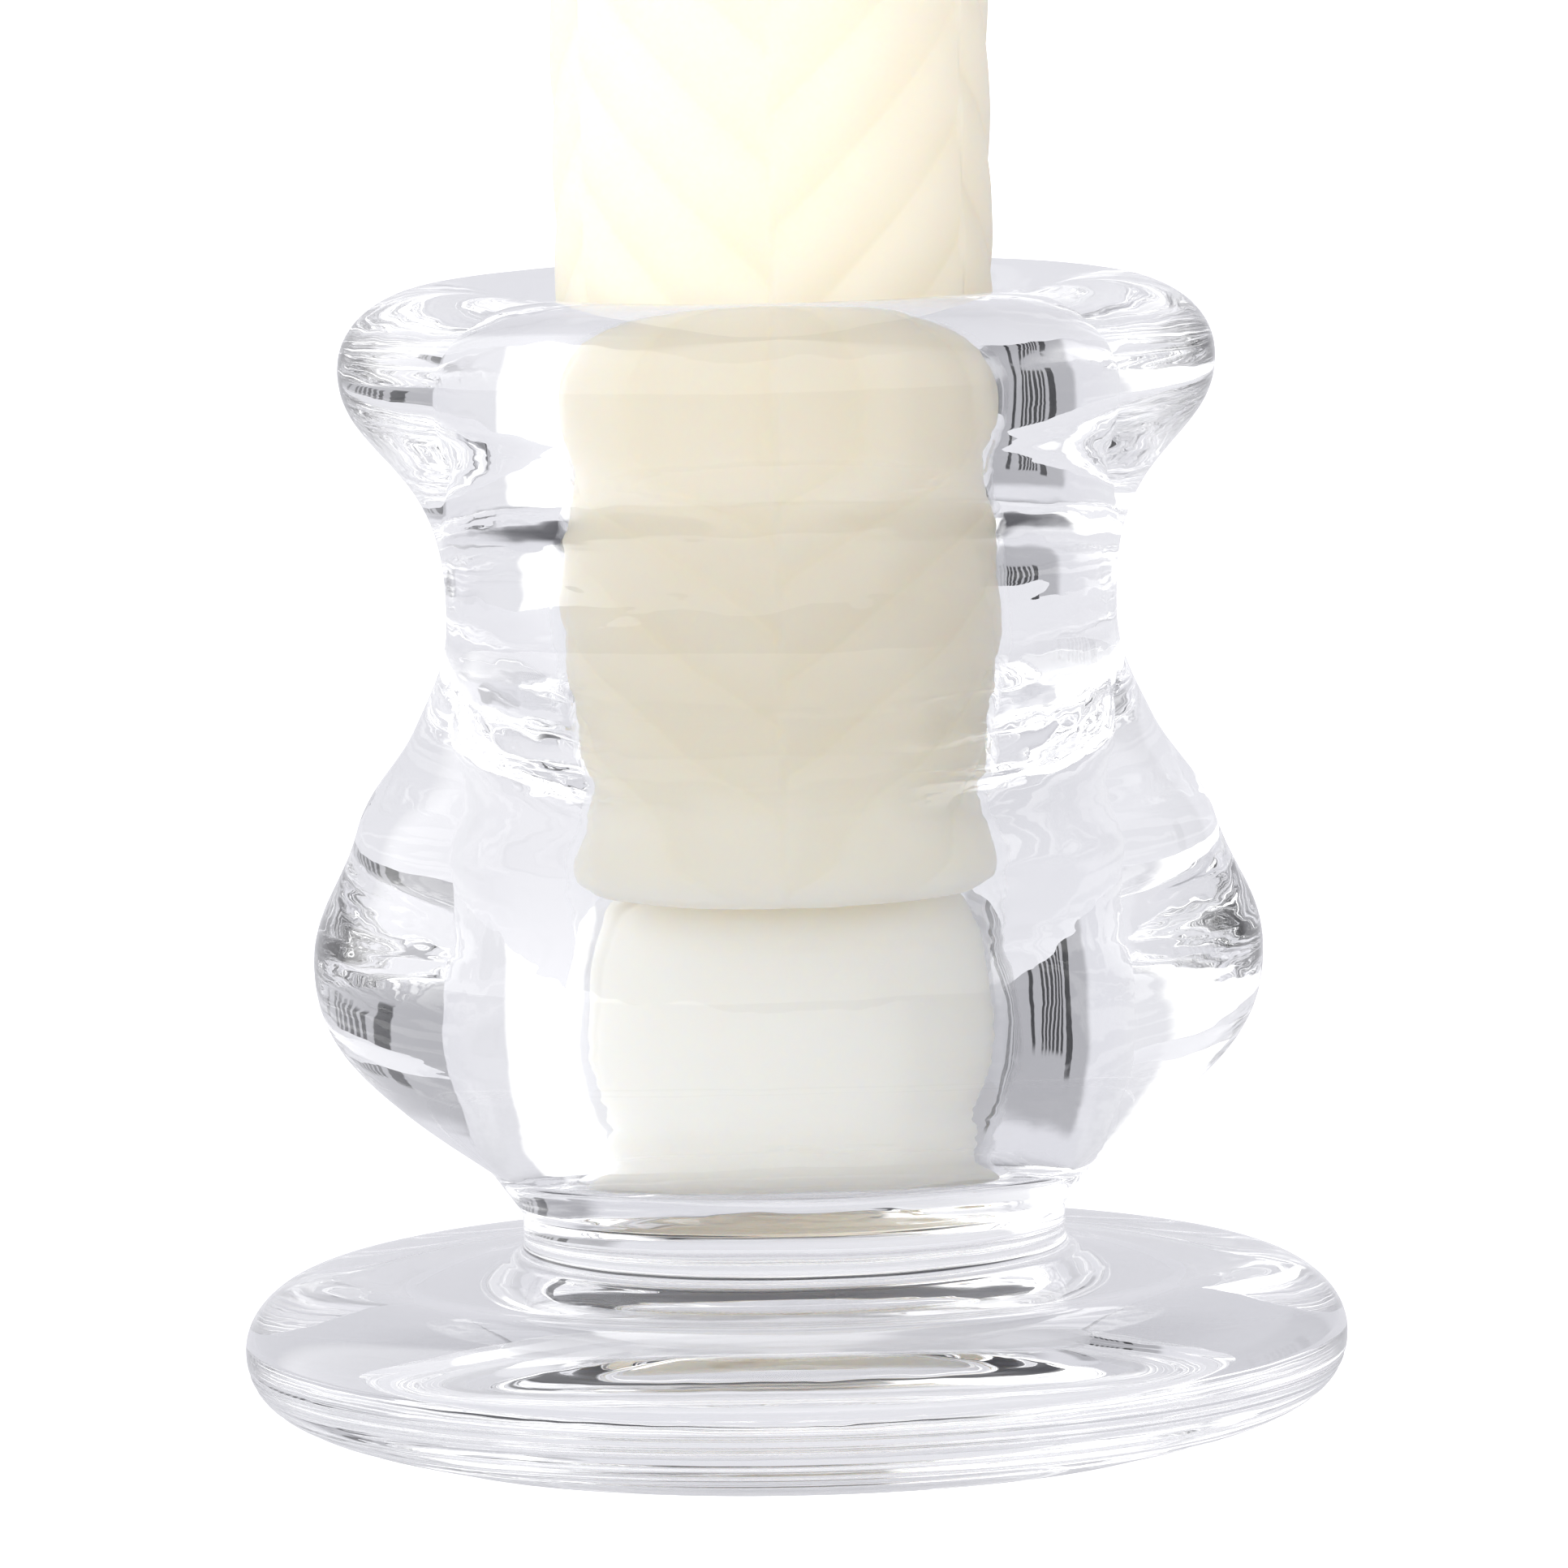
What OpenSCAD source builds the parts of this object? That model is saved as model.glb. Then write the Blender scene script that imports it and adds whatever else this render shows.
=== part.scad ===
// Pressed glass candlestick with a plaited dinner candle standing in its socket.
// Millimetres, +Z up, origin at the centre of the face that the foot stands on.

/* [Foot] */
// Diameter of the foot at its widest
foot_d = 55.6; // [54:0.2:64]
// Thickness of the foot at its raised edge
foot_t = 8.8; // [8.2:0.1:9.2]
// Number of fine mould steps round the lower edge of the foot
foot_steps = 5; // [0:1:6]
// Diameter of the hollow under the foot
recess_d = 30; // [24:1:36]
// Depth of the hollow under the foot
recess_depth = 2; // [0.5:0.5:4]

/* [Stem and bowl] */
// Diameter of the short collar between the foot and the bulb
collar_d = 27.4; // [26:0.2:29]
// Diameter of the bulb at its widest
bulb_d = 47.8; // [46:0.2:52]
// Diameter of the waist above the bulb
neck_d = 33.7; // [32:0.1:36]
// Diameter of the rim at its widest
rim_d = 44; // [42:0.5:48]
// Overall height of the glass
glass_h = 58.4; // [57.4:0.2:60]

/* [Socket] */
// Diameter of the candle socket
socket_d = 22.9; // [22.6:0.1:23.4]
// Depth of the candle socket, from the top of the rim
socket_depth = 42.5; // [38:0.5:44]

/* [Candle] */
// Diameter of the candle over its plaited strands
candle_d = 22; // [20:0.5:22]
// Length of the wax, plug and plaited part together
candle_len = 140; // [80:5:250]
// Height of the plain plug under the plaited part
plug_h = 10.2; // [8.5:0.1:14]
// Columns of strands round the candle, which lean left and right in turn
plait_columns = 6; // [4:2:10]
// Height of one strand, from crease to crease
plait_pitch = 5.7; // [4.5:0.1:8]
// Depth of the creases between strands
plait_depth = 0.3; // [0.2:0.05:0.8]
// Diameter of the wick
wick_d = 1.8; // [1.2:0.1:2.4]
// Length of wick that stands out of the wax
wick_out = 9; // [4:1:15]

/* [Hidden] */

$fn = 96;
glass_color = [0.86, 0.89, 0.93, 0.55];
wax_color = [0.94, 0.89, 0.77];
wick_color = [0.97, 0.95, 0.9];

// Foot: the widest line, the raised edge, the standing ring and the mould steps above it
foot_r = foot_d / 2;
foot_mid_z = 5;
foot_crest_r = foot_r - 5.1;
foot_dish_r = foot_crest_r - 3.2;
foot_dish_z = foot_t - 0.15;
foot_ring_r = foot_r - 7.8;
foot_rise_heading = 15;
step_cut = 0.1;
step_low_z = 1;
step_high_z = 4;

// Hollow under the foot: how flat its middle is and how round its edge
recess_r = recess_d / 2;
recess_flat = 10;
recess_edge = 0.7;

// Collar, and the flare above it that carries the bulb
collar_r = collar_d / 2;
collar_z = 10.3;
collar_top_z = 11.7;
cove = 0.9;
flare_r = collar_r + 1.6;
flare_z = collar_top_z + 2.2;
flare_slope = 35;

// Bulb: the places where it swells out of the flare and draws in to the neck
bulb_r = bulb_d / 2;
bulb_z = 24.4;
swell_r = bulb_r - 3.25;
swell_z = bulb_z - 6.4;
shoulder_r = bulb_r - 2.3;
shoulder_z = bulb_z + 6.7;

// Neck, and the places just below and above it
neck_r = neck_d / 2;
neck_z = 41.6;
neck_low_r = neck_r + 1.6;
neck_low_z = neck_z - 5.2;
neck_high_r = neck_r + 2.3;
neck_high_z = glass_h - 9.2;

// Rim, mouth and socket
rim_r = rim_d / 2;
rim_z = glass_h - 4.1;
lip_r = rim_r - 5.4;
mouth_z = glass_h - 3.2;
socket_r = socket_d / 2;
socket_floor = glass_h - socket_depth;
socket_round = 2;

// Steps along each curve of the outline, and how far a curve runs straight before it bends
curve_steps = 10;
recess_steps = 18;
curve_pull = 0.39;

// Candle
candle_r = candle_d / 2;
plait_len = candle_len - plug_h;
plait_lean = 43;
plug_r = candle_r - 0.45;
plug_waist_r = 6.2;
plug_round = 2;
plug_dome_z = 0.48 * plug_h;
plug_dome_h = 0.45 * plug_h;
tip_len = 12;
tip_flat_r = 2.6;
overlap = 0.5;
sides_per_column = 6;
rows_per_strand = 4;

// ---- Curves ----

// Elliptical arc round [r, z], from angle a to angle b
function arc(r, z, rx, rz, a, b, n = curve_steps) =
    [for (i = [0:n]) let (t = a + (b - a) * i / n) [r + rx * cos(t), z + rz * sin(t)]];

// Smooth curve from station p to station q, each [radius, height, heading in degrees]
function flow(p, q, n = curve_steps) =
    let (k = curve_pull * norm([q[0] - p[0], q[1] - p[1]]),
         a = [p[0], p[1]], b = a + k * [cos(p[2]), sin(p[2])],
         d = [q[0], q[1]], c = d - k * [cos(q[2]), sin(q[2])])
    [for (i = [1:n]) let (t = i / n, s = 1 - t)
        s * s * s * a + 3 * s * s * t * b + 3 * s * t * t * c + t * t * t * d];

// Smooth curve through a list of stations
function flow_through(stations) =
    [for (i = [1:len(stations) - 1]) each flow(stations[i - 1], stations[i])];

// ---- Glass ----

// Hollow under the foot, from its centre out to the standing ring
function recess_outline() =
    [for (i = [0:recess_steps]) let (t = sqrt(i / recess_steps))
        [recess_r * t, recess_depth * pow(1 - pow(t, recess_flat), recess_edge)]];

// Lower edge of the foot, from the standing ring up to the widest line
function foot_under() =
    concat([[foot_ring_r, 0]], flow([foot_ring_r, 0, foot_rise_heading], [foot_r, foot_mid_z, 90]));

// Upper edge of the foot and its slightly dished top, in to the collar
function foot_over() = concat(
    arc(foot_crest_r, foot_mid_z, foot_r - foot_crest_r, foot_t - foot_mid_z, 0, 90),
    flow_through([
        [foot_crest_r, foot_t, 180],
        [foot_dish_r, foot_dish_z, 177],
        [collar_r + cove, collar_z - cove, 165]]),
    arc(collar_r + cove, collar_z, cove, cove, 270, 180, 4));

// Bulb, neck and rim, from the collar up and over into the socket's mouth
function bowl_outline() = concat(
    [[collar_r, collar_top_z], [flare_r, flare_z]],
    flow_through([
        [flare_r, flare_z, flare_slope],
        [swell_r, swell_z, 42],
        [bulb_r, bulb_z, 90],
        [shoulder_r, shoulder_z, 106],
        [neck_low_r, neck_low_z, 115],
        [neck_r, neck_z, 90],
        [neck_high_r, neck_high_z, 50],
        [rim_r, rim_z, 90],
        [lip_r, glass_h, 180],
        [socket_r, mouth_z, 270]]));

// Socket wall and floor, down to the axis
function socket_outline() = concat(
    arc(socket_r - socket_round, socket_floor + socket_round, socket_round, socket_round, 0, -90, 5),
    [[0, socket_floor]]);

module glass_candlestick()
    color(glass_color)
    difference() {
        rotate_extrude()
        polygon(concat(recess_outline(), foot_under(), foot_over(), bowl_outline(), socket_outline()));
        for (i = [1:1:foot_steps]) foot_step(i);
    }

// One shallow V groove round the lower edge of the foot, at an even share of the stepped height
module foot_step(i) {
    z = step_low_z + (step_high_z - step_low_z) * (i - 0.5) / foot_steps;
    edge = foot_under();
    r = lookup(z, [for (p = edge) [p[1], p[0]]]);
    rotate_extrude()
    translate([r, z])
    rotate(45)
    square(2 * step_cut, center = true);
}

// ---- Candle ----

// Height gained by a strand that crosses its column, from 0 to 1 across and back again
function zigzag(k) =
    let (m = 2 * sides_per_column, i = k % m)
    (i <= sides_per_column ? i : m - i) / sides_per_column;

// Depth of the relief at row j: 1 in a crease, 0 on a crown
function crease(j) =
    pow(abs(2 * (j % rows_per_strand) / rows_per_strand - 1), 2.5);

// Relief at side k of row j; strands in neighbouring columns pass each other by half a pitch
function relief(j, k) =
    let (column = floor(k / sides_per_column), half = rows_per_strand / 2,
         here = crease(j + (column % 2) * half), beside = crease(j + ((column + 1) % 2) * half))
    k % sides_per_column == 0 ? (here + beside) / 2 : here;

// Radius of the plaited part's envelope at height z above its lower end
function plait_radius(z) =
    let (t = max(0, (z - plait_len + tip_len) / tip_len))
    tip_flat_r + (candle_r - tip_flat_r) * sqrt(max(0, 1 - t * t));

// The plaited part, standing on the XY plane
module plait() {
    sides = plait_columns * sides_per_column;
    rows = round(plait_len / plait_pitch) * rows_per_strand;
    rise = 2 * PI * candle_r / plait_columns * tan(plait_lean);
    blend = 2.5 * rows_per_strand;
    points = [for (j = [0:rows]) for (k = [0:sides - 1])
        let (fade = min(1, j / blend, (rows - j) / blend),
             z = plait_len * j / rows + (zigzag(k) - 0.5) * rise * fade,
             r = plait_radius(z) - plait_depth * relief(j, k) * min(1, 2 * fade),
             a = 360 * k / sides + 180 / plait_columns)
        [r * cos(a), r * sin(a), z]];
    walls = [for (j = [0:rows - 1]) for (k = [0:sides - 1])
        let (a = j * sides + k, b = j * sides + (k + 1) % sides)
        each [[a, a + sides, b], [b, a + sides, b + sides]]];
    polyhedron(points, concat(walls,
        [[for (k = [0:sides - 1]) k]],
        [[for (k = [sides - 1:-1:0]) rows * sides + k]]));
}

// The plain plug that stands on the socket's floor, domed up to a waist under the plait
module plug()
    rotate_extrude()
    polygon(concat(
        [[0, plug_h + overlap], [0, 0]],
        arc(plug_r - plug_round, plug_round, plug_round, plug_round, -90, 0, 5),
        arc(plug_waist_r, plug_dome_z, plug_r - plug_waist_r, plug_dome_h, 0, 90),
        [[plug_waist_r, plug_h + overlap]]));

module candle_wax()
    color(wax_color)
    translate([0, 0, socket_floor])
    difference() {
        union() {
            plug();
            translate([0, 0, plug_h]) plait();
        }
        translate([0, 0, -1])
        cylinder(h = candle_len + 2, d = wick_d);
    }

module candle_wick()
    color(wick_color)
    translate([0, 0, socket_floor])
    rotate_extrude()
    polygon(concat(
        [[0, 0], [wick_d / 2, 0]],
        arc(0, candle_len + wick_out - wick_d / 2, wick_d / 2, wick_d / 2, 0, 90, 4)));

glass_candlestick();
candle_wax();
candle_wick();
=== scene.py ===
"""Pressed glass candlestick with a plaited ivory candle: looks, light and camera."""
import math
import bpy
from mathutils import Matrix, Vector, noise


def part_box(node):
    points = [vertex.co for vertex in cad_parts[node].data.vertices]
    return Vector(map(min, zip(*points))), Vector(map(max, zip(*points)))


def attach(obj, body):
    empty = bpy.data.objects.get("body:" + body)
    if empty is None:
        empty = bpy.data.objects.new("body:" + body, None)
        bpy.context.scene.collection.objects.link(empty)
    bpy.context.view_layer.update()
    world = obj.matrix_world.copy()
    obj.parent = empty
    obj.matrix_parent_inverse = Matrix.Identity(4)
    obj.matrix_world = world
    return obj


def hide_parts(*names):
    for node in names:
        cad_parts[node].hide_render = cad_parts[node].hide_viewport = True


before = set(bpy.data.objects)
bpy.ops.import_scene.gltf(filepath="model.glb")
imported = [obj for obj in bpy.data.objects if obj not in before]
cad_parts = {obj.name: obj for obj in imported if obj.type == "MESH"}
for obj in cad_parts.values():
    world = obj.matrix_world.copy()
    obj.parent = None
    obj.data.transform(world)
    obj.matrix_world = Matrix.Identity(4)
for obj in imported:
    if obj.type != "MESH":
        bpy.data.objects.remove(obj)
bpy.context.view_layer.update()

MM = 0.001
glass_low, glass_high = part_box("glass_candlestick")
wax_low, wax_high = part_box("candle_wax")
wick_low, wick_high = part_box("candle_wick")

# Driving sizes read off the frame; every size is in millimetres until the meshes are made
FOOT_R = (glass_high[0] - glass_low[0]) / 2 / MM
GLASS_H = glass_high[2] / MM
SOCKET_FLOOR = wax_low[2] / MM
WAX_TOP = wax_high[2] / MM
WICK_R = (wick_high[0] - wick_low[0]) / 2 / MM
WICK_TOP = wick_high[2] / MM

# Foot: the widest line, the raised edge, the standing ring, the hollow under it and the mould steps
MID_Z = 5.0
CREST_R, CREST_Z = FOOT_R - 5.1, 8.8
RING_R = FOOT_R - 7.8
RING_HEADING = 15
RECESS_R, RECESS_DEPTH = 15.0, 2.0
RECESS_FLAT, RECESS_EDGE = 10, 0.7
STEP_HEIGHTS = (3.95, 3.35, 2.25, 1.6, 1.05)
STEP_DEPTH, STEP_WIDTH = 0.13, 0.08

# Collar, bowl and socket
COLLAR_R = 13.7
COLLAR_Z, COLLAR_TOP_Z = 10.3, 11.7
COVE = 0.9
FLARE_RUN, FLARE_RISE = 1.6, 2.2
SOCKET_R, SOCKET_ROUND = 11.45, 2.0
MOUTH_Z = GLASS_H - 3.2

# Stations up the bulb, neck and rim and over into the socket: radius, height, heading in degrees
BOWL = [(COLLAR_R + FLARE_RUN, COLLAR_TOP_Z + FLARE_RISE, 35), (20.66, 18.0, 42), (23.9, 24.4, 90),
        (21.6, 31.1, 106), (18.45, 36.4, 115), (16.85, 41.6, 90), (19.15, GLASS_H - 9.2, 50),
        (22.0, GLASS_H - 4.1, 90), (16.6, GLASS_H, 180), (SOCKET_R, MOUTH_Z, 270)]

# How far the rippled glass is drawn in, to keep it inside the solid's box
RIPPLE_DROP = 0.045

# Plaited part of the candle: columns of strands, one strand's height, the creases' depth, a strand's rise
WAX_R = 11.0
COLUMNS = 6
PITCH = 5.7
GROOVE = 0.26
LEAN = 43
RISE = 2 * math.pi * WAX_R / COLUMNS * math.tan(math.radians(LEAN))
TIP = 12.0
TIP_FLAT_R = 2.6

# Plug under it, with a dome between two shares of its height
PLUG_H = 10.2
PLUG_R = WAX_R - 0.45
PLUG_WAIST_R = 6.2
PLUG_ROUND = 2.0
DOME_LOW, DOME_HIGH = 0.48, 0.93
HEM = 1.6


# ---- Curves ----

def arc(r, z, rx, rz, a, b, n):
    """Elliptical arc round (r, z), from angle a to angle b in degrees."""
    turns = [math.radians(a + (b - a) * i / n) for i in range(n + 1)]
    return [(r + rx * math.cos(t), z + rz * math.sin(t)) for t in turns]


def flow(stations, n):
    """Smooth curve through stations of (radius, height, heading in degrees)."""
    points = [stations[0][:2]]
    for (r0, z0, h0), (r1, z1, h1) in zip(stations, stations[1:]):
        k = 0.39 * math.hypot(r1 - r0, z1 - z0)
        a, d = Vector((r0, z0)), Vector((r1, z1))
        b = a + k * Vector((math.cos(math.radians(h0)), math.sin(math.radians(h0))))
        c = d - k * Vector((math.cos(math.radians(h1)), math.sin(math.radians(h1))))
        for i in range(1, n + 1):
            t = i / n
            s = 1 - t
            points.append(tuple(s**3 * a + 3 * s * s * t * b + 3 * s * t * t * c + t**3 * d))
    return points


# ---- Meshes ----

def mesh_piece(name, verts, faces):
    mesh = bpy.data.meshes.new(name)
    mesh.from_pydata(verts, [], faces)
    mesh.shade_smooth()
    piece = bpy.data.objects.new(name, mesh)
    bpy.context.scene.collection.objects.link(piece)
    return piece


# ---- Glass ----

def under_edge():
    """Lower edge of the foot, from the standing ring to the widest line, with its fine mould steps."""
    points = flow([(RING_R, 0.0, RING_HEADING), (FOOT_R, MID_Z, 90)], 240)
    out = []
    for (r0, z0), (r, z), (r1, z1) in zip(points, points[1:], points[2:]):
        size = math.hypot(r1 - r0, z1 - z0)
        cut = sum(STEP_DEPTH * math.exp(-((z - height) / STEP_WIDTH) ** 2) for height in STEP_HEIGHTS)
        out.append((r - cut * (z1 - z0) / size, z + cut * (r1 - r0) / size))
    return [points[0]] + out + [points[-1]]


def glass_outline():
    """Outline of the glass, from the axis under the foot to the axis on the socket's floor."""
    steps = 60
    out = [(RECESS_R * i / steps, RECESS_DEPTH * (1 - (i / steps) ** RECESS_FLAT) ** RECESS_EDGE)
           for i in range(steps + 1)]
    out += under_edge()
    out += arc(CREST_R, MID_Z, FOOT_R - CREST_R, CREST_Z - MID_Z, 0, 90, 44)[1:]
    out += flow([(CREST_R, CREST_Z, 180), (CREST_R - 3.2, CREST_Z - 0.15, 177),
                 (COLLAR_R + COVE, COLLAR_Z - COVE, 165)], 30)[1:]
    out += arc(COLLAR_R + COVE, COLLAR_Z, COVE, COVE, 270, 180, 8)[1:]
    out += [(COLLAR_R, COLLAR_TOP_Z)]
    out += [(COLLAR_R + FLARE_RUN * t, COLLAR_TOP_Z + FLARE_RISE * t) for t in (0.25, 0.5, 0.75)]
    out += flow(BOWL, 36)
    wall = MOUTH_Z - SOCKET_FLOOR - SOCKET_ROUND
    out += [(SOCKET_R, MOUTH_Z - wall * i / 130) for i in range(1, 130)]
    out += arc(SOCKET_R - SOCKET_ROUND, SOCKET_FLOOR + SOCKET_ROUND, SOCKET_ROUND, SOCKET_ROUND, 0, -90, 12)
    out += [(r, SOCKET_FLOOR) for r in (8.5, 7.5, 6.5, 5.5, 4.5, 3.5, 2.5, 1.5, 0.0)]
    clean = []
    for r, z in out:
        if not clean or math.hypot(r - clean[-1][0], z - clean[-1][1]) > 1e-4:
            clean.append((max(r, 0.0), z))
    return clean


def press_ripple(r, z, a, along, inside):
    """How far the fire-polished surface stands off the true outline, in millimetres."""
    around = Vector((math.cos(a), math.sin(a), 0))
    place = around * r + Vector((0, 0, z))
    if inside:
        wave = noise.noise(Vector((place.x * 0.20, place.y * 0.20, z * 0.34 + 9))) * 0.045
        crumple = noise.noise(Vector((place.x * 0.55, place.y * 0.55, z * 0.95 + 5))) * 0.016
        return wave + crumple
    slow = noise.noise(place * 0.16) * 0.030
    wave = noise.noise(place * 0.42 + Vector((7, 3, 1))) * 0.010
    rings = noise.noise(Vector((around.x * 1.3, around.y * 1.3, along * 1.3))) * 0.0075
    fine = noise.noise(Vector((around.x * 1.6, around.y * 1.6 + 4, along * 3.4))) * 0.003
    calm = 0.25 if z < CREST_Z + 0.2 else 1.0  # the foot is the smoothest part
    return calm * (slow + wave + rings + fine)


def lathe(name, outline, sides):
    """Rippled surface of revolution of an outline that starts and ends on the axis."""
    verts, faces, rings = [], [], []
    along = 0.0
    for i, (r, z) in enumerate(outline):
        (r0, z0), (r1, z1) = outline[max(i - 1, 0)], outline[min(i + 1, len(outline) - 1)]
        size = math.hypot(r1 - r0, z1 - z0)
        nr, nz = (z1 - z0) / size, (r0 - r1) / size
        along += math.hypot(r - r0, z - z0)
        inside = r < SOCKET_R + 0.02 and z > SOCKET_FLOOR - 0.5
        still = min(1.0, z / 1.5)  # the standing ring stays flat
        count = 1 if r < 1e-6 else sides
        rings.append((len(verts), count))
        for k in range(count):
            a = 2 * math.pi * k / sides
            off = (press_ripple(r, z, a, along, inside) - RIPPLE_DROP) * still
            rr = (r + nr * off) * MM if count > 1 else 0
            verts.append((rr * math.cos(a), rr * math.sin(a), (z + nz * off) * MM))
    for (low, low_n), (high, high_n) in zip(rings, rings[1:]):
        for k in range(sides):
            j = (k + 1) % sides
            if low_n == 1:
                faces.append((low, high + j, high + k))
            elif high_n == 1:
                faces.append((low + k, low + j, high))
            else:
                faces.append((low + k, low + j, high + j, high + k))
    return mesh_piece(name, verts, faces)


# ---- Candle ----

def relief(turn, z):
    """Depth of the plait at a place: turn counts columns round the candle, z is in millimetres."""
    column = int(turn)
    across = turn - column
    lean = across if column % 2 == 0 else 1 - across
    phase = (z - lean * RISE) / PITCH + 0.5 * (column % 2)
    u = abs(2 * (phase - math.floor(phase)) - 1)
    return GROOVE * u ** 2.2


def candle_outline():
    """Radius and height up the wax, and how much of the plait's relief shows there."""
    length = WAX_TOP - SOCKET_FLOOR
    dome_low, dome_high = DOME_LOW * PLUG_H, DOME_HIGH * PLUG_H
    out = [(1.0, 0.0), (6.0, 0.0)]
    out += arc(PLUG_R - PLUG_ROUND, PLUG_ROUND, PLUG_ROUND, PLUG_ROUND, -90, 0, 10)
    out += arc(PLUG_WAIST_R, dome_low, PLUG_R - PLUG_WAIST_R, dome_high - dome_low, 0, 90, 24)
    out += [(PLUG_WAIST_R, PLUG_H), (WAX_R - HEM, PLUG_H)]
    out = [(r, z, 0.0) for r, z in out]
    rows = 900
    for j in range(1, rows + 1):
        z = PLUG_H + (length - PLUG_H) * j / rows
        t = max(0.0, (z - length + TIP) / TIP)
        s = min(1.0, (z - PLUG_H) / 1.2)
        hem = WAX_R - HEM + HEM * math.sqrt(1 - (1 - s) ** 2)
        body = TIP_FLAT_R + (WAX_R - TIP_FLAT_R) * math.sqrt(max(0.0, 1 - t * t))
        out.append((min(hem, body), z, min(s, (length - z) / TIP, 1.0)))
    return out + [(1.0, length, 0.0)]


def candle_piece(sides=360):
    """The wax: a plain domed plug, then the plaited part up to its rounded tip."""
    outline = candle_outline()
    verts, faces = [], []
    for r, z, keep in outline:
        for k in range(sides):
            a = 2 * math.pi * (k / sides + 0.5 / COLUMNS)
            place = Vector((r * math.cos(a), r * math.sin(a), z))
            rr = (r - keep * relief(COLUMNS * k / sides, z) + 0.05 * (noise.noise(place * 0.35) - 0.6)) * MM
            verts.append((rr * math.cos(a), rr * math.sin(a), (z + SOCKET_FLOOR) * MM))
    for i in range(len(outline) - 1):
        for k in range(sides):
            a, b = i * sides + k, i * sides + (k + 1) % sides
            faces.append((a, b, b + sides, a + sides))
    faces.append(tuple(range(sides - 1, -1, -1)))
    faces.append(tuple((len(outline) - 1) * sides + k for k in range(sides)))
    return mesh_piece("plaited_candle", verts, faces)


def wick_piece(sides=36):
    """A twisted three-strand cotton wick with a rounded end."""
    rows = 900
    verts, faces = [], []
    for j in range(rows + 1):
        z = SOCKET_FLOOR + (WICK_TOP - SOCKET_FLOOR) * j / rows
        close = min(1.0, (WICK_TOP - z) / 0.8)
        for k in range(sides):
            a = 2 * math.pi * k / sides
            strand = abs(math.cos(1.5 * (a - 1.9 * z)))
            thread = 0.03 * math.sin(9 * (a + 1.9 * z))
            r = WICK_R * (0.80 + 0.17 * strand + thread) * math.sqrt(max(0.04, 1 - (1 - close) ** 2))
            verts.append((r * MM * math.cos(a), r * MM * math.sin(a), z * MM))
    for j in range(rows):
        for k in range(sides):
            a, b = j * sides + k, j * sides + (k + 1) % sides
            faces.append((a, b, b + sides, a + sides))
    faces.append(tuple(range(sides - 1, -1, -1)))
    faces.append(tuple(rows * sides + k for k in range(sides)))
    return mesh_piece("cotton_wick", verts, faces)


# ---- Materials ----

def material(name):
    m = bpy.data.materials.new(name)
    m.use_nodes = True
    nodes, links = m.node_tree.nodes, m.node_tree.links
    return m, nodes, links, nodes["Principled BSDF"]


def textured(nodes, links, kind, scale, stretch=(1, 1, 1)):
    """A texture node in object space, with its own stretch."""
    coords = nodes.new("ShaderNodeTexCoord")
    mapping = nodes.new("ShaderNodeMapping")
    mapping.inputs["Scale"].default_value = stretch
    texture = nodes.new(kind)
    texture.inputs["Scale"].default_value = scale
    links.new(coords.outputs["Object"], mapping.inputs["Vector"])
    links.new(mapping.outputs["Vector"], texture.inputs["Vector"])
    return texture


def two_tones(nodes, links, factor, low, high, low_at=0.3, high_at=0.75):
    ramp = nodes.new("ShaderNodeValToRGB")
    for stop, colour, place in zip(ramp.color_ramp.elements, (low, high), (low_at, high_at)):
        stop.position = place
        stop.color = (*colour, 1)
    links.new(factor, ramp.inputs["Fac"])
    return ramp.outputs["Color"]


def bump(nodes, links, shader, height, strength, distance):
    node = nodes.new("ShaderNodeBump")
    node.inputs["Strength"].default_value = strength
    node.inputs["Distance"].default_value = distance
    links.new(height, node.inputs["Height"])
    links.new(node.outputs["Normal"], shader.inputs["Normal"])


def glass_material():
    m, nodes, links, shader = material("clear_glass")
    shader.inputs["Roughness"].default_value = 0.0
    shader.inputs["IOR"].default_value = 1.5
    shader.inputs["Transmission Weight"].default_value = 1.0
    tint = textured(nodes, links, "ShaderNodeTexNoise", 60)
    colour = two_tones(nodes, links, tint.outputs["Fac"], (0.985, 0.99, 0.995), (1.0, 1.0, 1.0))
    links.new(colour, shader.inputs["Base Color"])
    ripple = textured(nodes, links, "ShaderNodeTexNoise", 260, (0.6, 0.6, 2.2))
    bump(nodes, links, shader, ripple.outputs["Fac"], 0.05, 0.0004)
    return m


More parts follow.
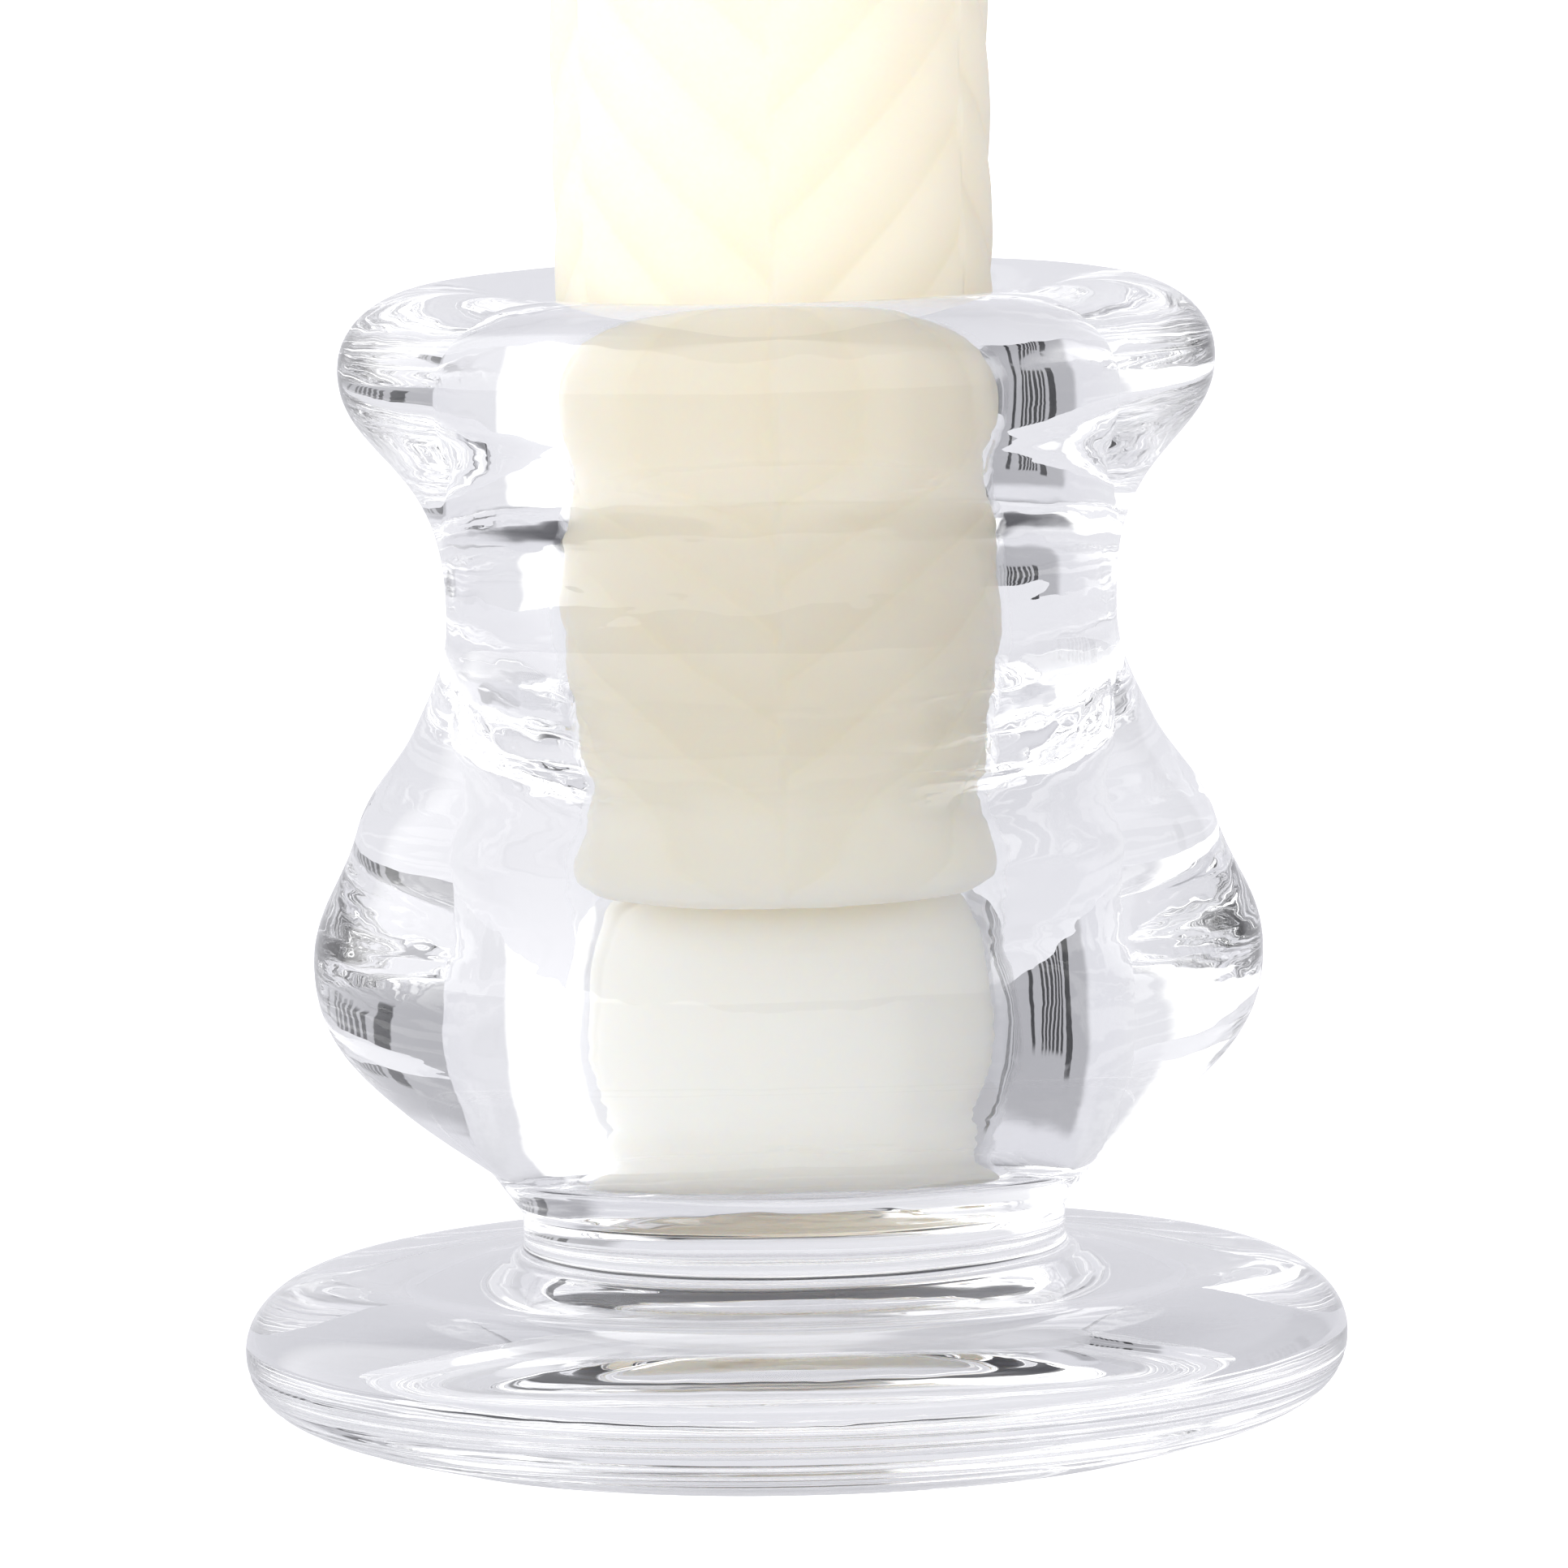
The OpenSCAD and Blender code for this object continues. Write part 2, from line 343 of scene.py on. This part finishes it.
def wax_material():
    """Ivory wax; the plug is paler than the plait, with a few faint darker patches at random places."""
    m, nodes, links, shader = material("ivory_wax")
    cloud = textured(nodes, links, "ShaderNodeTexNoise", 70)
    cloud.inputs["Detail"].default_value = 4
    plait = two_tones(nodes, links, cloud.outputs["Fac"], (0.885, 0.81, 0.665), (0.915, 0.845, 0.72))
    # noise puts a few faint darker patches at random places on the plug
    blotch_noise = textured(nodes, links, "ShaderNodeTexNoise", 170, (1, 1, 0.7))
    plug = two_tones(nodes, links, blotch_noise.outputs["Fac"], (0.90, 0.855, 0.77), (0.70, 0.66, 0.58), 0.62, 0.7)
    height = nodes.new("ShaderNodeSeparateXYZ")
    coords = nodes.new("ShaderNodeTexCoord")
    links.new(coords.outputs["Object"], height.inputs[0])
    above = nodes.new("ShaderNodeMapRange")
    above.inputs["From Min"].default_value = (SOCKET_FLOOR + PLUG_H - 0.6) * MM
    above.inputs["From Max"].default_value = (SOCKET_FLOOR + PLUG_H) * MM
    links.new(height.outputs["Z"], above.inputs["Value"])
    tone = nodes.new("ShaderNodeMix")
    tone.data_type = "RGBA"
    links.new(above.outputs["Result"], tone.inputs["Factor"])
    links.new(plug, tone.inputs[6])
    links.new(plait, tone.inputs[7])
    links.new(tone.outputs[2], shader.inputs["Base Color"])
    shader.inputs["Roughness"].default_value = 0.38
    shader.inputs["Subsurface Weight"].default_value = 1.0
    shader.inputs["Subsurface Radius"].default_value = (1.0, 0.8, 0.55)
    shader.inputs["Subsurface Scale"].default_value = 0.017
    grain = textured(nodes, links, "ShaderNodeTexNoise", 900)
    bump(nodes, links, shader, grain.outputs["Fac"], 0.12, 0.0001)
    return m


def wick_material():
    m, nodes, links, shader = material("cotton_wick")
    fibre = textured(nodes, links, "ShaderNodeTexNoise", 2500, (1, 1, 0.25))
    colour = two_tones(nodes, links, fibre.outputs["Fac"], (0.70, 0.66, 0.56), (0.90, 0.88, 0.80))
    links.new(colour, shader.inputs["Base Color"])
    shader.inputs["Roughness"].default_value = 0.9
    bump(nodes, links, shader, fibre.outputs["Fac"], 0.5, 0.0002)
    return m


def finish(piece, look, body, node):
    piece.data.materials.append(look)
    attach(piece, body)
    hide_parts(node)


glass = lathe("pressed_glass", glass_outline(), 360)
finish(glass, glass_material(), "candlestick", "glass_candlestick")
finish(candle_piece(), wax_material(), "candle", "candle_wax")
finish(wick_piece(), wick_material(), "candle", "candle_wick")


# ---- Floor, light and camera ----

FLOOR_SIZE = 3.0
FLOOR_GLOW = (0.50, 0.50, 0.53)


def floor():
    """A pale floor that glows faintly lavender for the glass and wax; the view itself sees it white."""
    s = FLOOR_SIZE
    piece = mesh_piece("floor", [(-s, -s, 0), (s, -s, 0), (s, s, 0), (-s, s, 0)], [(0, 1, 2, 3)])
    m, nodes, links, shader = material("floor_paint")
    shader.inputs["Base Color"].default_value = (0.26, 0.26, 0.27, 1)
    shader.inputs["Roughness"].default_value = 0.8
    seen = nodes.new("ShaderNodeLightPath")
    glow = nodes.new("ShaderNodeMix")
    glow.data_type = "RGBA"
    glow.inputs[6].default_value = (*FLOOR_GLOW, 1)
    glow.inputs[7].default_value = (1.2, 1.2, 1.2, 1)
    links.new(seen.outputs["Is Camera Ray"], glow.inputs["Factor"])
    links.new(glow.outputs[2], shader.inputs["Emission Color"])
    shader.inputs["Emission Strength"].default_value = 1.0
    piece.data.materials.append(m)


class Studio:
    """The world's light, built up as a function of azimuth and elevation in degrees."""

    def __init__(self):
        world = bpy.data.worlds.new("studio")
        bpy.context.scene.world = world
        world.use_nodes = True
        self.nodes, self.links = world.node_tree.nodes, world.node_tree.links
        where = self.nodes.new("ShaderNodeTexCoord")
        axes = self.nodes.new("ShaderNodeSeparateXYZ")
        self.links.new(where.outputs["Generated"], axes.inputs[0])
        # azimuth counts from the backdrop towards the right
        self.azimuth = self.calc("DEGREES", self.calc("ARCTAN2", axes.outputs["X"], axes.outputs["Y"]))
        self.elevation = self.calc("DEGREES", self.calc("ARCSINE", axes.outputs["Z"]))

    def calc(self, operation, *values):
        node = self.nodes.new("ShaderNodeMath")
        node.operation = operation
        for socket, value in zip(node.inputs, values):
            if isinstance(value, (int, float)):
                socket.default_value = value
            else:
                self.links.new(value, socket)
        return node.outputs[0]

    def step(self, value, start, end, low=0.0, high=1.0):
        """Goes smoothly from low at start to high at end."""
        node = self.nodes.new("ShaderNodeMapRange")
        node.interpolation_type = "SMOOTHSTEP"
        self.links.new(value, node.inputs["Value"])
        for name, number in (("From Min", start), ("From Max", end), ("To Min", low), ("To Max", high)):
            node.inputs[name].default_value = number
        return node.outputs[0]

    def band(self, value, low, high, soft):
        """1 between low and high, fading over soft on each side."""
        return self.calc("MULTIPLY", self.step(value, low - soft, low + soft),
                         self.step(value, high + soft, high - soft))

    def patch(self, azimuths, elevations, soft=(1.0, 1.0)):
        return self.calc("MULTIPLY", self.band(self.azimuth, *azimuths, soft[0]),
                         self.band(self.elevation, *elevations, soft[1]))

    def mix(self, factor, a, b):
        node = self.nodes.new("ShaderNodeMix")
        node.data_type = "RGBA"
        for socket, value in ((node.inputs["Factor"], factor), (node.inputs[6], a), (node.inputs[7], b)):
            if isinstance(value, tuple):
                socket.default_value = (*value, 1)
            else:
                self.links.new(value, socket)
        return node.outputs[2]


def light():
    """A soft studio: a large light on the left, a lavender backdrop, a grey panel on the right."""
    s = Studio()
    # the backdrop dims a little towards the right, and is white on the left
    colour = s.mix(s.step(s.azimuth, -30, 30), (0.80, 0.80, 0.84), (0.75, 0.75, 0.80))
    colour = s.mix(s.step(s.azimuth, 88, 120), colour, (0.95, 0.95, 0.97))
    colour = s.mix(s.step(s.azimuth, -40, -44), colour, (1.0, 1.0, 1.0))
    # the bright room behind the viewer
    away = s.calc("ABSOLUTE", s.azimuth)
    colour = s.mix(s.step(away, 118, 140), colour, (1.75, 1.75, 1.75))
    # the grey panel on the right, with dark uprights and a brown board low down
    colour = s.mix(s.patch((31, 84), (-10, 21), (3, 3)), colour, (0.42, 0.42, 0.45))
    wobble = s.nodes.new("ShaderNodeTexNoise")
    wobble.noise_dimensions = "1D"
    wobble.inputs["Scale"].default_value = 0.35
    s.links.new(s.elevation, wobble.inputs["W"])
    bent = s.calc("ADD", s.azimuth, s.calc("MULTIPLY", wobble.outputs[0], 2.0))
    stripe = s.calc("PINGPONG", bent, 1.2)
    thin = s.calc("MULTIPLY", s.step(stripe, 0.35, 0.6), s.patch((52, 66), (-13, 9), (0.5, 1)))
    left_bar = s.calc("MULTIPLY", s.band(bent, 46.5, 51, 0.3), s.band(s.elevation, -15, 11, 1))
    right_bar = s.calc("MULTIPLY", s.band(bent, 71, 73, 0.3), s.band(s.elevation, -9, 9, 1))
    uprights = s.calc("MAXIMUM", s.calc("MAXIMUM", thin, left_bar), right_bar)
    colour = s.mix(uprights, colour, (0.008, 0.009, 0.012))
    colour = s.mix(s.patch((53, 60), (-14, -9), (0.4, 0.4)), colour, (0.16, 0.12, 0.09))
    # low directions brighten to white
    colour = s.mix(s.step(s.elevation, -7, -18), colour, (1.0, 1.0, 1.02))
    # a dark ceiling over the backdrop
    ceiling = s.calc("MULTIPLY", s.step(s.elevation, 30, 50), s.step(away, 125, 105))
    colour = s.mix(ceiling, colour, (0.05, 0.05, 0.06))
    # the big light
    across = s.calc("MULTIPLY", s.step(s.azimuth, -150, -115), s.step(s.azimuth, -40, -52))
    upward = s.calc("MULTIPLY", s.step(s.elevation, -40, -15), s.step(s.elevation, 75, 50))
    colour = s.mix(s.calc("MULTIPLY", across, upward), colour, (2.05, 2.05, 2.05))
    # the view itself sees white
    seen = s.nodes.new("ShaderNodeLightPath")
    colour = s.mix(seen.outputs["Is Camera Ray"], colour, (1.0, 1.0, 1.0))
    s.links.new(colour, s.nodes["Background"].inputs["Color"])


def camera():
    """A long lens a little above the rim, looking down at the bowl."""
    data = bpy.data.cameras.new("camera")
    data.sensor_width = 36
    data.lens = 329.8137
    data.clip_start = 0.01
    cam = bpy.data.objects.new("camera", data)
    place = Matrix.Translation((-0.00005, -0.717, 0.10837))
    tilt = Matrix.Rotation(math.radians(84), 4, "X")
    roll = Matrix.Rotation(math.radians(-1.22), 4, "Z")
    cam.matrix_world = place @ tilt @ roll
    bpy.context.scene.collection.objects.link(cam)
    bpy.context.scene.camera = cam


floor()
light()
camera()

scene = bpy.context.scene
scene.view_settings.view_transform = "Standard"
scene.cycles.use_denoising = True
scene.cycles.max_bounces = 32
scene.cycles.transmission_bounces = 32
scene.cycles.glossy_bounces = 16
